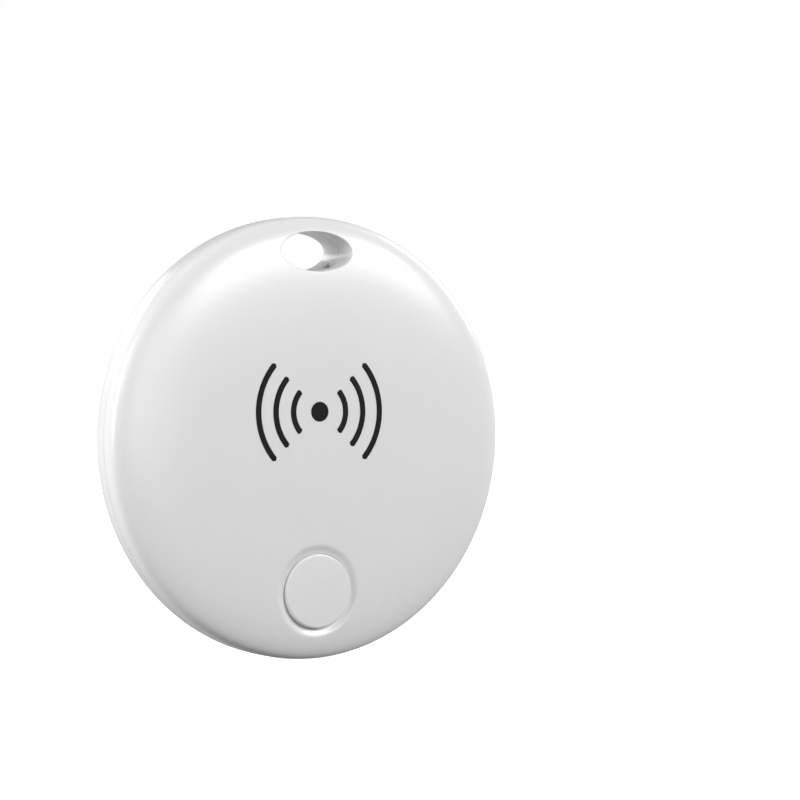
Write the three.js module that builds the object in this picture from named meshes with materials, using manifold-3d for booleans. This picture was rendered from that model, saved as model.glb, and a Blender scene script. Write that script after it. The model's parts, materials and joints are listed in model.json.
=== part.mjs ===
// Round key-finder tag: a thin split case around a coin cell, with a push button on the front,
// a sounder behind a three-bar grille on the back and a keyring hole through the rim.
// Millimetres. +Z points up to the keyring hole, -Y is the front and +Y is the back.
// The origin is the centre of the keyring hole, in the plane where the two shells meet.

import * as THREE from 'three';
import { mergeVertices } from 'three/addons/utils/BufferGeometryUtils.js';
import Module from 'manifold-3d';

const wasm = await Module();
wasm.setup();

// ---- Driving dimensions ----
const tagRadius = 19;
const frontDepth = 2.8; // from the seam to the front face
const rearDepth = 3.4; // from the seam to the back face
const faceExponent = 3.5; // how flat the faces are before they turn into the rim
const rimExponent = 4.7; // how square the rim is through the thickness
const flatRadius = 4; // truly flat middle of each face
const faceWall = 0.9;
const rimWall = 1.1;
const seamGap = 0.08;
const through = 6; // reach of a cut that goes right through the case
const slip = 0.05; // clearance between pieces that lie on each other
const turns = 48; // flats round a shell
const outerSteps = 8; // points along the rim's outer curve
const innerSteps = 4;
const cellTurns = 32; // flats round the cell and the sounder
const smallTurns = 24; // flats round a small piece

const hole = { height: 16, halfWidth: 3.5, halfHeight: 1.7, collar: 0.9 }; // an oval through the rim
const cell = { radius: 10, thickness: 3.2, height: 1.8, pocket: 10.2, pocketWall: 0.6, pocketTop: 1 };
const board = { front: -0.15, thickness: 0.8, radius: 16.7, cellCutout: 11, postRadius: 15.4, pegHole: 0.6 };
const button = {
  height: -13.04, radius: 3.23, face: -2.62, hole: 3.3, moat: 3.97, dishDepth: 0.3,
  flange: 3.8, flangeFront: -1.65, back: -1.3, boss: -1.9, // boss: inside face of the wall round the button
};
const tactSwitch = {
  half: 1.6, coverFront: -0.98, coverRear: -0.88, coverHole: 0.68, baseFront: -0.85, domeRoom: 1.15,
  plunger: 0.6, plungerTip: -1.27, collar: 0.85, collarFront: -0.86, collarRear: -0.79,
};
const grille = { pitch: 2.75, rise: 0.3, holeRadius: 0.75, holePitch: 3.15 };
const bars = [
  { length: 13.2, width: 2, row: 0 },
  { length: 9.2, width: 1.4, row: 1 },
  { length: 9.2, width: 1.4, row: -1 },
];
const dimple = { radius: 0.5, pitch: 2.2, depth: 0.2 };
const soundMesh = { halfWidth: 4.7, halfHeight: 1.4, thickness: 0.1 };
const notch = { left: 2, right: 3, front: -0.7, rear: 0.9, low: 1.45, high: 0.9 }; // low, high: below the hole
const lip = { outer: 17.7, inner: 17.1, reach: 0.9 }; // the back shell's snap ring
const lipRoot = 0.9; // where the snap ring meets the back shell's wall
const seat = { radius: 17.8, depth: 1.3 }; // where the snap ring and the case seal sit in the front shell
const post = { angles: [40, 140, -55, -125], radius: 0.95, peg: 0.5, top: 1.15, turns: 16 };
const rearRib = { angles: [0, 180, -90], radius: 0.6, root: 2.6 };
const piezo = { plate: 12.8, ceramic: 10.8, front: 1.87, layer: 0.17, seat: 2.45 };
const seatWall = { gap: 0.15, thickness: 0.6, reach: 1.75, root: 2.9 }; // ring round the sounder
const contactWidth = 3;

const lipReachOut = hole.collar + 0.7; // how far the snap ring stands off the keyring hole
const boardRear = board.front + board.thickness;
const cellFront = -cell.thickness / 2;
const cellRear = cell.thickness / 2;
const frontFloor = -(frontDepth - faceWall);
const rearFloor = rearDepth - faceWall;
const plateFront = piezo.front + piezo.layer + 0.03;

const finishes = {
  shell: { color: 0xf2f2f1, roughness: 0.35, metalness: 0 },
  silicone: { color: 0x9a9a98, roughness: 0.8, metalness: 0 },
  board: { color: 0x14573a, roughness: 0.5, metalness: 0 },
  chip: { color: 0x1b1b1d, roughness: 0.55, metalness: 0 },
  ceramic: { color: 0xd9d2c2, roughness: 0.6, metalness: 0 },
  steel: { color: 0xc9cacc, roughness: 0.3, metalness: 1 },
  brass: { color: 0xc9a55a, roughness: 0.35, metalness: 1 },
  lithium: { color: 0xa9abad, roughness: 0.5, metalness: 0.6 },
  pellet: { color: 0x2b2b2c, roughness: 0.9, metalness: 0 },
  plastic: { color: 0x2f2f31, roughness: 0.6, metalness: 0 },
  adhesive: { color: 0x3a3a3c, roughness: 0.9, metalness: 0 },
  mesh: { color: 0x262627, roughness: 0.95, metalness: 0 },
};

// ---- The assembly: the disc's centre is its origin, so it is lowered by the hole's height ----
const tag = new THREE.Group();
const assembly = new THREE.Group();
assembly.position.z = -hole.height;
tag.add(assembly);

function add(name, geometry, finish) {
  const mesh = new THREE.Mesh(geometry, new THREE.MeshStandardMaterial(finishes[finish]));
  mesh.name = name;
  assembly.add(mesh);
  return mesh;
}

// ---- Solids ----
function solid(geometry) {
  const bare = geometry.clone();
  bare.deleteAttribute('normal');
  bare.deleteAttribute('uv');
  const merged = mergeVertices(bare, 1e-4);
  return new wasm.Manifold(new wasm.Mesh({
    numProp: 3,
    vertProperties: new Float32Array(merged.attributes.position.array),
    triVerts: new Uint32Array(merged.index.array),
  }));
}

function toGeometry(manifold) {
  const mesh = manifold.getMesh();
  const positions = new Float32Array(mesh.numVert * 3);
  for (let i = 0; i < mesh.numVert; i++) {
    positions.set(mesh.vertProperties.subarray(i * mesh.numProp, i * mesh.numProp + 3), i * 3);
  }
  const geometry = new THREE.BufferGeometry();
  geometry.setAttribute('position', new THREE.BufferAttribute(positions, 3));
  geometry.setIndex(new THREE.BufferAttribute(new Uint32Array(mesh.triVerts), 1));
  geometry.computeVertexNormals();
  return geometry;
}

// Revolves [radius, y] points about the Y axis. Points run from the front of the axis round to its back.
function turned(points, segments = smallTurns) {
  return new THREE.LatheGeometry(points.map(([r, y]) => new THREE.Vector2(r, y)), segments);
}

// A turned ring with a rectangular section.
function ring(inner, outer, y0, y1, segments = smallTurns) {
  return turned([[inner, y0], [outer, y0], [outer, y1], [inner, y1], [inner, y0]], segments);
}

function disc(radius, y0, y1, segments = smallTurns) {
  return turned([[0, y0], [radius, y0], [radius, y1], [0, y1]], segments);
}

function block(x0, x1, y0, y1, z0, z1) {
  const geometry = new THREE.BoxGeometry(x1 - x0, y1 - y0, z1 - z0);
  return geometry.translate((x0 + x1) / 2, (y0 + y1) / 2, (z0 + z1) / 2);
}

// A flat outline in X and Z, made solid between two depths.
function prism(shape, y0, y1, curveSegments = 8) {
  const geometry = new THREE.ExtrudeGeometry(shape, { depth: y1 - y0, bevelEnabled: false, curveSegments });
  return geometry.rotateX(Math.PI / 2).translate(0, y1, 0);
}

function obround(halfWidth, halfHeight) {
  const shape = new THREE.Shape();
  const arm = halfWidth - halfHeight;
  shape.moveTo(-arm, -halfHeight);
  shape.lineTo(arm, -halfHeight);
  shape.absarc(arm, 0, halfHeight, -Math.PI / 2, Math.PI / 2);
  shape.lineTo(-arm, halfHeight);
  shape.absarc(-arm, 0, halfHeight, Math.PI / 2, 1.5 * Math.PI);
  return shape;
}

function collarPrism(growth, y0, y1) {
  const outline = new THREE.Shape();
  outline.absellipse(0, 0, hole.halfWidth + growth, hole.halfHeight + growth, 0, 2 * Math.PI);
  return solid(prism(outline, y0, y1, 14).translate(0, 0, hole.height));
}

function onCircle(radius, degrees) {
  const angle = THREE.MathUtils.degToRad(degrees);
  return [radius * Math.cos(angle), radius * Math.sin(angle)];
}

// ---- The pebble: |r/R|^n + |y/h|^m = 1, swept from the axis to the seam ----
function pebbleRim(radius, depth, steps) {
  const points = [];
  for (let i = 1; i <= steps; i++) {
    const t = (Math.PI / 2) * (1 - i / steps);
    const r = radius * Math.cos(t) ** (2 / faceExponent);
    points.push([r, depth * Math.sin(t) ** (2 / rimExponent)]);
  }
  return points;
}

function halfPebble(radius, depth, side, beyond, steps) {
  const rim = pebbleRim(radius, depth, steps).map(([r, y]) => [r, side * y]);
  const points = [[0, side * depth], [flatRadius, side * depth], ...rim];
  points.push([radius, -side * beyond], [0, -side * beyond]);
  return solid(turned(side < 0 ? points : points.reverse(), turns));
}

// ---- Front shell ----
function frontShell() {
  const outer = halfPebble(tagRadius, frontDepth, -1, -seamGap / 2, outerSteps);
  const inner = halfPebble(tagRadius - rimWall, frontDepth - faceWall, -1, 1, innerSteps);
  const sealStep = collarPrism(lipReachOut + slip, -through, -seat.depth);
  const hollow = inner
    .add(solid(disc(seat.radius, -seat.depth, 1, turns)))
    .subtract(collarPrism(hole.collar, -through, through))
    .subtract(sealStep);
  let shell = outer.subtract(hollow);

  const pocket = ring(cell.pocket, cell.pocket + cell.pocketWall, frontFloor - 0.3, cell.pocketTop, cellTurns);
  shell = shell.add(solid(pocket.translate(0, 0, cell.height)));
  for (const angle of post.angles) {
    const [x, z] = onCircle(board.postRadius, angle);
    shell = shell.add(solid(disc(post.radius, frontFloor, board.front - slip, post.turns).translate(x, 0, z)));
    shell = shell.add(solid(disc(post.peg, frontFloor, post.top, post.turns).translate(x, 0, z)));
  }

  const slotLow = cell.height - contactWidth / 2 - 0.3;
  const slotHigh = cell.height + contactWidth / 2 + 0.3;
  const cuts = [
    disc(cell.pocket, frontFloor, through, cellTurns).translate(0, 0, cell.height),
    block(1.5, 14, frontFloor, -0.1, slotLow, slotHigh), // room for the negative contact
    block(-14, -9, 0.1, 2, slotLow, slotHigh), // room for the positive contact
    disc(button.flange + 0.15, button.boss, 2, smallTurns).translate(0, 0, button.height),
    buttonMoat().translate(0, 0, button.height),
  ];
  for (const cut of cuts) {
    shell = shell.subtract(solid(cut));
  }
  return shell.subtract(collarPrism(0, -through, through)).subtract(pryNotch());
}

// The dish round the button, then the straight hole that guides it.
function buttonMoat() {
  const outside = -4;
  return turned([
    [0, outside],
    [button.moat + 0.3, outside],
    [button.moat, button.face - 0.02],
    [button.moat - 0.16, button.face + 0.16],
    [button.hole + 0.2, button.face + 0.26],
    [button.hole, button.face + button.dishDepth],
    [button.hole, 0],
    [0, 0],
  ]);
}

// ---- Back shell ----
// A thin band just inside the rim that passes below the keyring hole instead of across it.
function perimeterBand(y0, y1) {
  const holeRoom = collarPrism(hole.collar + 0.12, -through, through);
  const outer = solid(disc(lip.outer, y0, y1, turns)).subtract(holeRoom);
  const inner = solid(disc(lip.inner, -through, through, turns));
  return outer.subtract(inner.subtract(collarPrism(lipReachOut, -through, through)));
}

function rearShell() {
  const outer = halfPebble(tagRadius, rearDepth, 1, -seamGap / 2, outerSteps);
  const inner = halfPebble(tagRadius - rimWall, rearDepth - faceWall, 1, 1, innerSteps);
  let shell = outer.subtract(inner.subtract(collarPrism(hole.collar, -through, through)));

  shell = shell.add(perimeterBand(-lip.reach, lipRoot));
  shell = shell.add(collarPrism(lipReachOut, 0.2, lipRoot).intersect(outer));

  for (const bar of bars) {
    const outline = obround(bar.length / 2, bar.width / 2);
    const raised = prism(outline, rearFloor + 0.2, rearDepth + grille.rise);
    shell = shell.add(solid(raised.translate(0, 0, bar.row * grille.pitch)));
  }
  const seatRadius = piezo.plate + seatWall.gap;
  const wall = ring(seatRadius, seatRadius + seatWall.thickness, seatWall.reach, seatWall.root, cellTurns);
  shell = shell.add(solid(wall));
  for (const angle of rearRib.angles) {
    const [x, z] = onCircle(board.postRadius, angle);
    const rib = disc(rearRib.radius, boardRear + slip, rearRib.root, post.turns);
    shell = shell.add(solid(rib.translate(x, 0, z)));
  }

  shell = shell.subtract(solid(disc(seatRadius, 1, piezo.seat, cellTurns)));
  for (const step of [-1, 0, 1]) {
    const soundHole = disc(grille.holeRadius, 1, through, 20);
    shell = shell.subtract(solid(soundHole.translate(step * grille.holePitch, 0, 0)));
    for (const row of [-1, 1]) {
      const floor = rearDepth + grille.rise - dimple.depth;
      const blind = disc(dimple.radius, floor, through, 14);
      shell = shell.subtract(solid(blind.translate(step * dimple.pitch, 0, row * grille.pitch)));
    }
  }
  return shell.subtract(collarPrism(0, -through, through)).subtract(pryNotch());
}

// A slot across the seam in the keyring hole's wall, where a nail pries the back shell off.
function pryNotch() {
  const low = hole.height - notch.low;
  const high = hole.height - notch.high;
  return solid(block(notch.left, notch.right, notch.front, notch.rear, low, high));
}

// A soft ring that follows the seat and passes below the keyring hole.
function caseSeal() {
  return perimeterBand(-seat.depth + slip, -lip.reach - slip);
}

function addCase() {
  add('front_shell', toGeometry(frontShell()), 'shell');
  add('rear_shell', toGeometry(rearShell()), 'shell');
  add('case_seal', toGeometry(caseSeal()), 'silicone');
  const meshRear = rearFloor - 0.03;
  const outline = obround(soundMesh.halfWidth, soundMesh.halfHeight);
  const mesh = prism(outline, meshRear - soundMesh.thickness, meshRear);
  add('sound_mesh', mesh, 'mesh');
}

// ---- Push button and its switch ----
function addButton() {
  const cap = turned([
    [0, button.face],
    [button.radius - 0.2, button.face],
    [button.radius - 0.06, button.face + 0.06],
    [button.radius, button.face + 0.2],
    [button.radius, button.flangeFront],
    [button.flange, button.flangeFront],
    [button.flange, button.back],
    [0, button.back],
  ]);
  const seal = ring(3.42, 3.78, button.boss + 0.03, button.flangeFront - 0.03);
  add('button_cap', cap, 'shell').position.z = button.height;
  add('button_seal', seal, 'silicone').position.z = button.height;
}

function addSwitch() {
  const { half, coverFront, coverRear, baseFront, collar, collarFront, collarRear } = tactSwitch;
  const room = solid(disc(tactSwitch.domeRoom, -2, board.front - 0.13, 24));
  const base = solid(block(-half, half, baseFront, board.front - slip, -half, half)).subtract(room);
  const plate = solid(block(-half, half, coverFront, coverRear, -half, half));
  const cover = plate.subtract(solid(disc(tactSwitch.coverHole, -2, 0, 20)));
  const plunger = turned([
    [0, tactSwitch.plungerTip], [tactSwitch.plunger, tactSwitch.plungerTip], [tactSwitch.plunger, collarFront],
    [collar, collarFront], [collar, collarRear], [0, collarRear],
  ], 20);
  const dome = turned([
    [0, -0.77], [0.5, -0.73], [0.95, -0.62], [0.95, -0.56], [0.5, -0.67], [0, -0.71],
  ], 20);
  add('switch_base', toGeometry(base), 'plastic').position.z = button.height;
  add('switch_cover', toGeometry(cover), 'steel').position.z = button.height;
  add('switch_plunger', plunger, 'plastic').position.z = button.height;
  add('switch_dome', dome, 'steel').position.z = button.height;
}

// ---- Coin cell, its narrow pole facing the front ----
function addCell() {
  const outerR = cell.radius;
  const pieces = [
    ['cell_can', 'steel', [
      [9.3, cellFront + 0.1], [9.75, cellFront + 0.1], [outerR, cellFront + 0.4], [outerR, cellRear - 0.3],
      [9.7, cellRear], [0, cellRear], [0, cellRear - 0.25], [9.5, cellRear - 0.25], [9.75, cellRear - 0.4],
      [9.75, cellFront + 0.5], [9.6, cellFront + 0.3], [9.3, cellFront + 0.3], [9.3, cellFront + 0.1],
    ]],
    ['cell_cap', 'steel', [
      [0, cellFront], [8.55, cellFront], [8.75, -1.4], [8.75, -1], [9.05, -0.85], [9.05, 0.9], [8.85, 0.9],
      [8.85, -0.8], [8.55, -0.95], [8.55, -1.3], [8.45, -1.4], [0, -1.4],
    ]],
    ['cell_gasket', 'plastic', [
      [8.82, -1.45], [9.24, -1.45], [9.24, -1.24], [9.55, -1.24], [9.7, -1.02], [9.7, 1], [9.12, 1],
      [9.12, -0.88], [8.82, -1.03], [8.82, -1.45],
    ]],
  ];
  for (const [name, finish, points] of pieces) {
    add(name, turned(points, cellTurns), finish).position.z = cell.height;
  }
  add('cell_lithium', disc(8.4, -1.34, -0.6), 'lithium').position.z = cell.height;
  add('cell_separator', disc(8.6, -0.56, -0.48), 'mesh').position.z = cell.height;
  add('cell_cathode', disc(8.5, -0.44, cellRear - 0.3), 'pellet').position.z = cell.height;
}

// A bent metal strip: an outline in X and Y, as wide as asked along Z.
function strip(outline, width) {
  const shape = new THREE.Shape(outline.map(([x, y]) => new THREE.Vector2(x, y)));
  const geometry = new THREE.ExtrudeGeometry(shape, { depth: width, bevelEnabled: false });
  return geometry.translate(0, 0, -width / 2);
}

function addContacts() {
  const metal = 0.15;
  const footTop = board.front - slip;
  const leaf = frontFloor + slip;
  const negative = strip([
    [13.6, footTop], [11.25, footTop], [11.25, leaf + metal], [3, leaf + metal], [2.2, cellFront - slip],
    [1.7, cellFront - slip], [2, leaf + 0.08], [3, leaf], [11.4, leaf], [11.4, footTop - metal],
    [13.6, footTop - metal],
  ], contactWidth);
  add('negative_contact', negative, 'steel').position.z = cell.height;

  const sole = boardRear + slip;
  const face = -(cell.radius + slip);
  const positive = strip([
    [-13.4, sole], [face, sole], [face, 1.3], [face - 0.2, 1.45], [face - 0.32, 1.35], [face - metal, 1.2],
    [face - metal, sole + metal], [-13.4, sole + metal],
  ], contactWidth);
  add('positive_contact', positive, 'steel').position.z = cell.height;
}

// A C-shaped spring finger that stands on the board and reaches the sounder.
function springFinger(height) {
  const metal = 0.12;
  const shape = new THREE.Shape();
  const bend = height / 2;
  shape.moveTo(0.9, 0);
  shape.lineTo(0.9, metal);
  shape.lineTo(-0.5, metal);
  shape.absarc(-0.5, bend, bend - metal, -Math.PI / 2, -1.5 * Math.PI, true);
  shape.lineTo(0.8, height - metal);
  shape.lineTo(0.8, height);
  shape.lineTo(-0.5, height);
  shape.absarc(-0.5, bend, bend, -1.5 * Math.PI, -Math.PI / 2, false);
  const geometry = new THREE.ExtrudeGeometry(shape, { depth: 1, bevelEnabled: false, curveSegments: 8 });
  return geometry.translate(0, boardRear + slip, -0.5);
}

function addSounder() {
  const ceramicRear = piezo.front + piezo.layer;
  const plateRear = plateFront + piezo.layer;
  add('piezo_ceramic', disc(piezo.ceramic, piezo.front, ceramicRear, cellTurns), 'ceramic');
  add('piezo_plate', disc(piezo.plate, plateFront, plateRear, cellTurns), 'brass');
  const glue = ring(piezo.plate - 1.5, piezo.plate - 0.2, plateRear + 0.03, piezo.seat - 0.03, cellTurns);
  add('piezo_adhesive', glue, 'adhesive');
  const base = boardRear + slip;
  const signal = add('piezo_spring_signal', springFinger(piezo.front - slip - base), 'steel');
  signal.position.set(-2.2, 0, -9.8);
  const ground = add('piezo_spring_ground', springFinger(plateFront - slip - base), 'steel');
  ground.position.set(2.6, 0, -11.6);
}

// ---- Circuit board and its components ----
function circuitBoard() {
  let plate = solid(disc(board.radius, board.front, boardRear, turns));
  const cellRoom = disc(board.cellCutout, -through, through, cellTurns).translate(0, 0, cell.height);
  plate = plate.subtract(solid(cellRoom));
  plate = plate.subtract(collarPrism(lipReachOut + 0.25, -through, through));
  plate = plate.subtract(solid(block(-5.2, 5.2, -through, through, 10, 20))); // open up to the keyring hole
  for (const angle of post.angles) {
    const [x, z] = onCircle(board.postRadius, angle);
    plate = plate.subtract(solid(disc(board.pegHole, -through, through, post.turns).translate(x, 0, z)));
  }
  return plate;
}

// Stands a component on the back of the board: its long side runs round the disc.
function addComponent(name, finish, angle, radius, [along, across, tall]) {
  const [x, z] = onCircle(radius, angle);
  const mesh = add(name, new THREE.BoxGeometry(along, tall, across), finish);
  mesh.position.set(x, boardRear + slip + tall / 2, z);
  mesh.rotation.y = Math.PI / 2 - THREE.MathUtils.degToRad(angle);
}

function addElectronics() {
  add('circuit_board', toGeometry(circuitBoard()), 'board');
  const chipSize = [1, 0.5, 0.5];
  const components = [
    ['radio_chip', 'chip', -150, 13.6, [5, 5, 0.8]],
    ['main_crystal', 'steel', -166.5, 13.4, [2, 1.6, 0.5]],
    ['sleep_crystal', 'steel', -130.5, 12.6, [3.2, 1.5, 0.8]],
    ['chip_antenna', 'ceramic', -25, 15, [6.5, 2.2, 0.9]],
    ['boost_inductor', 'chip', -45.5, 13, [3, 3, 0.95]],
    ['sounder_driver', 'chip', -72, 14.3, [2.9, 1.6, 1]],
    ['bulk_capacitor', 'ceramic', -108, 14.3, [3.2, 1.6, 1]],
    ['antenna_capacitor_1', 'ceramic', -31, 12.8, chipSize],
    ['antenna_inductor', 'ceramic', -25, 12.8, chipSize],
    ['antenna_capacitor_2', 'ceramic', -19, 12.8, chipSize],
    ['supply_capacitor_1', 'ceramic', -114, 12.1, chipSize],
    ['supply_capacitor_2', 'ceramic', -120, 12.1, chipSize],
    ['crystal_capacitor_1', 'ceramic', -175.5, 13, chipSize],
    ['crystal_capacitor_2', 'ceramic', -175.5, 14, chipSize],
    ['button_resistor', 'chip', -82, 13.4, chipSize],
    ['driver_resistor', 'chip', -60, 12.6, chipSize],
  ];
  for (const component of components) {
    addComponent(...component);
  }
}

addCase();
addButton();
addSwitch();
addCell();
addContacts();
addSounder();
addElectronics();

export default tag;
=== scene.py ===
"""Looks of a round key-finder tag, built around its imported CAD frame.

Shapes are worked out in millimetres in the disc's own frame: X to the right, Z up to the keyring hole,
-Y out of the front face, the origin at the disc's centre in the seam plane. new_object() turns them into
metres in the CAD's frame.
"""

import json
import math

import bmesh
import bpy
import numpy as np
from mathutils import Matrix, Vector
from mathutils.geometry import delaunay_2d_cdt

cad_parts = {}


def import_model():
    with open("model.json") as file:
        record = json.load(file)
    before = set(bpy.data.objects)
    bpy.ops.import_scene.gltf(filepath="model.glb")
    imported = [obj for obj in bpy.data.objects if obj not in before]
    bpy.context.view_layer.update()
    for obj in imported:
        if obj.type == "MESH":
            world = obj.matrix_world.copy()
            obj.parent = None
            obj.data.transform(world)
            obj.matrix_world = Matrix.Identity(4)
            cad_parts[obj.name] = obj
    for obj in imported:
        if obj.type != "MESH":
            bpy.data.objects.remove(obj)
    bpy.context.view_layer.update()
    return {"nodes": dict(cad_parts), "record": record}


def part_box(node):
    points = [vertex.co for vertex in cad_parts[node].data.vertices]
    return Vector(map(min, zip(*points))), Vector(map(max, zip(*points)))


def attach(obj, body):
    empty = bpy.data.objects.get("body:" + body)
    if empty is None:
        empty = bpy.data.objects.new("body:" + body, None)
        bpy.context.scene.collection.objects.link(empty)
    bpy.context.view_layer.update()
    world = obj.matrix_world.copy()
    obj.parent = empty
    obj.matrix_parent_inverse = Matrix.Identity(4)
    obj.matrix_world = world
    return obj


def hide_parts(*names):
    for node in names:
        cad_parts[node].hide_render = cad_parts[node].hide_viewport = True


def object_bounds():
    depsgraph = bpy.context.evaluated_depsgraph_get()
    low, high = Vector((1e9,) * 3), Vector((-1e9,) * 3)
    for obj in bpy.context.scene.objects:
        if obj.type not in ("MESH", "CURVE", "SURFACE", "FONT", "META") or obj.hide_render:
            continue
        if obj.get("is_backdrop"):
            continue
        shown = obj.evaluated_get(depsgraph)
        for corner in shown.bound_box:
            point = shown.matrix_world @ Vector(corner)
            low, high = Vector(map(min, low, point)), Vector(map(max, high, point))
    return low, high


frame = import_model()

# ---- Sizes, in millimetres ----
MM = 0.001
BAR_RISE = 0.3
FRONT_LOW, FRONT_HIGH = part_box("front_shell")
REAR_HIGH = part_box("rear_shell")[1]
CAP_LOW, CAP_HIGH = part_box("button_cap")
RADIUS = (FRONT_HIGH.x - FRONT_LOW.x) / 2 / MM
CENTRE_Z = (FRONT_HIGH.z + FRONT_LOW.z) / 2 / MM
FRONT_DEPTH = -FRONT_LOW.y / MM
REAR_DEPTH = REAR_HIGH.y / MM - BAR_RISE
FACE_EXPONENT = 3.5
RIM_EXPONENT = 4.7
FACE_WALL = 0.9
RIM_WALL = 1.1
SEAM = 0.015  # half the gap between the two shells
THROUGH = 6.0  # reach of a cut that goes right through the case

HOLE_Z = -CENTRE_Z
HOLE_HALF_WIDTH = 3.5
HOLE_HALF_HEIGHT = 1.7
COLLAR = 0.9
NOTCH_SIDES = (2, 3)
NOTCH_DEPTHS = (-0.7, 0.9)
NOTCH_BELOW = (1.45, 0.9)  # below the keyring hole's centre
CELL_Z = 1.8
POCKET = 10.2
POCKET_WALL = 0.6
BUTTON_Z = (CAP_LOW.z + CAP_HIGH.z) / 2 / MM - CENTRE_Z
CAP_FACE = CAP_LOW.y / MM
CAP_RADIUS = 3.23
BUTTON_HOLE = 3.245
MOAT_RADIUS = 3.97
MOAT_DEPTH = 0.27
MOAT_EDGE = 0.1
BOSS_FACE = -1.9
BARS = ((13.2, 2.0, 0.0), (9.2, 1.4, 2.75), (9.2, 1.4, -2.75))  # length, width, height above the centre
SOUND_HOLE_RADIUS = 0.75
SOUND_HOLE_PITCH = 3.15
DIMPLE_RADIUS = 0.5
DIMPLE_PITCH = 2.2
DIMPLE_DEPTH = 0.2
SEAT_RADIUS = 17.8
SEAT_DEPTH = 1.3
LIP_OUTER = 17.7
LIP_INNER = 17.1
LIP_REACH = 0.9
PIEZO_SEAT_RADIUS = 12.95
PIEZO_SEAT_Y = 2.45
BOARD_FRONT = -0.15
BOARD_REAR = 0.65
POST_RADIUS = 15.4
POST_ANGLES = (40, 140, -55, -125)
RIB_ANGLES = (0, 180, -90)

RIM_JOIN = 18.3  # where the face's free mesh meets the rim's rings
ROUND = 256  # points round the rim
RIM_RINGS = 15
SEAM_WALL = 0.08  # above the seam plane, where an upright wall starts to turn in
SEAM_EDGE = ((0.01, 0.004), (0, 0.014))  # the seam's rounded edge: height above it, and how far it is set in
POINT_SPACING = 0.48
BAND_MARGIN = 0.12  # free points keep this far from the bands that follow a detail
SHELL_SEGMENTS = 128
CELL_SEGMENTS = 160


# ---- Numbers ----
def pebble_depth(radius, depth, r):
    """Depth of |r/R|^n + |y/h|^m = 1 at the radius r."""
    inside = np.clip(1 - np.abs(r / radius) ** FACE_EXPONENT, 0, 1)
    return depth * inside ** (1 / RIM_EXPONENT)


def pebble_radius(radius, depth, y):
    inside = np.clip(1 - np.abs(y / depth) ** RIM_EXPONENT, 0, 1)
    return radius * inside ** (1 / FACE_EXPONENT)


def smooth_step(t):
    t = np.clip(t, 0, 1)
    return t * t * (3 - 2 * t)


def rounded_drop(distance, radius):
    """How far a quarter-round edge has fallen at a distance from the opening."""
    inner = radius - np.clip(distance, 0, radius)
    return radius - np.sqrt(np.clip(radius**2 - inner**2, 0, None))


def on_circle(radius, degrees):
    angle = math.radians(degrees)
    return radius * math.cos(angle), radius * math.sin(angle)


class Obround:
    """A flat outline with two straight sides and round ends. A circle is one with no straight sides."""

    def __init__(self, half_width, half_height, centre=(0.0, 0.0), step=0.2):
        self.arm = half_width - half_height
        self.reach = half_height
        self.centre = np.array(centre, float)
        self.arc_steps = max(6, round(math.pi * half_height / step))
        self.side_steps = round(2 * self.arm / step) if self.arm > 0 else 0

    def distance(self, points):
        x, z = (points - self.centre).T
        return np.hypot(np.maximum(np.abs(x) - self.arm, 0), z) - self.reach

    def outline(self, offset=0.0):
        """The outline moved out by an offset, always with the same number of points."""
        reach = self.reach + offset
        points = []
        for side in (1, -1):
            for i in range(self.arc_steps):
                angle = side * (math.pi / 2) * (2 * i / self.arc_steps - 1)
                points.append((side * (self.arm + reach * math.cos(angle)), reach * math.sin(angle)))
            for i in range(self.side_steps):
                along = self.arm * (1 - 2 * i / self.side_steps)
                points.append((side * along, side * reach))
        return np.array(points) + self.centre


class Oval:
    """An ellipse. Its distance is exact on the outline and close to it nearby."""

    def __init__(self, half_width, half_height, centre, points=96):
        self.axes = np.array((half_width, half_height))
        self.reach = half_height
        self.centre = np.array(centre, float)
        self.points = points

    def distance(self, points):
        away = (points - self.centre) / self.axes
        level = np.hypot(*away.T)
        slope = np.hypot(*(away / self.axes).T)
        return (level - 1) * level / np.maximum(slope, 1e-6)

    def outline(self, offset=0.0):
        turn = np.linspace(0, 2 * math.pi, self.points, endpoint=False)
        rim = np.stack((np.cos(turn), np.sin(turn)), 1)
        normal = rim / self.axes
        normal /= np.hypot(*normal.T)[:, None]
        return rim * self.axes + normal * offset + self.centre


def circle(radius, centre=(0.0, 0.0), step=0.2):
    return Obround(radius, radius, centre, step)


# ---- Meshes ----
def add_object(name, data):
    obj = bpy.data.objects.new(name, data)
    bpy.context.scene.collection.objects.link(obj)
    return obj


def new_object(name, points, faces):
    """A mesh object from points in millimetres in the disc's frame."""
    mesh = bpy.data.meshes.new(name)
    placed = (np.array(points, float) + (0, 0, CENTRE_Z)) * MM
    mesh.from_pydata(placed.tolist(), [], faces)
    mesh.validate()
    obj = add_object(name, mesh)
    face_out(obj)
    return obj


def face_out(obj):
    bpy.context.view_layer.objects.active = obj
    bpy.ops.object.mode_set(mode="EDIT")
    bpy.ops.mesh.select_all(action="SELECT")
    bpy.ops.mesh.normals_make_consistent(inside=False)
    bpy.ops.object.mode_set(mode="OBJECT")


def smooth(obj, degrees=32):
    obj.data.shade_smooth()
    obj.data.set_sharp_from_angle(angle=math.radians(degrees))
    return obj


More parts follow.
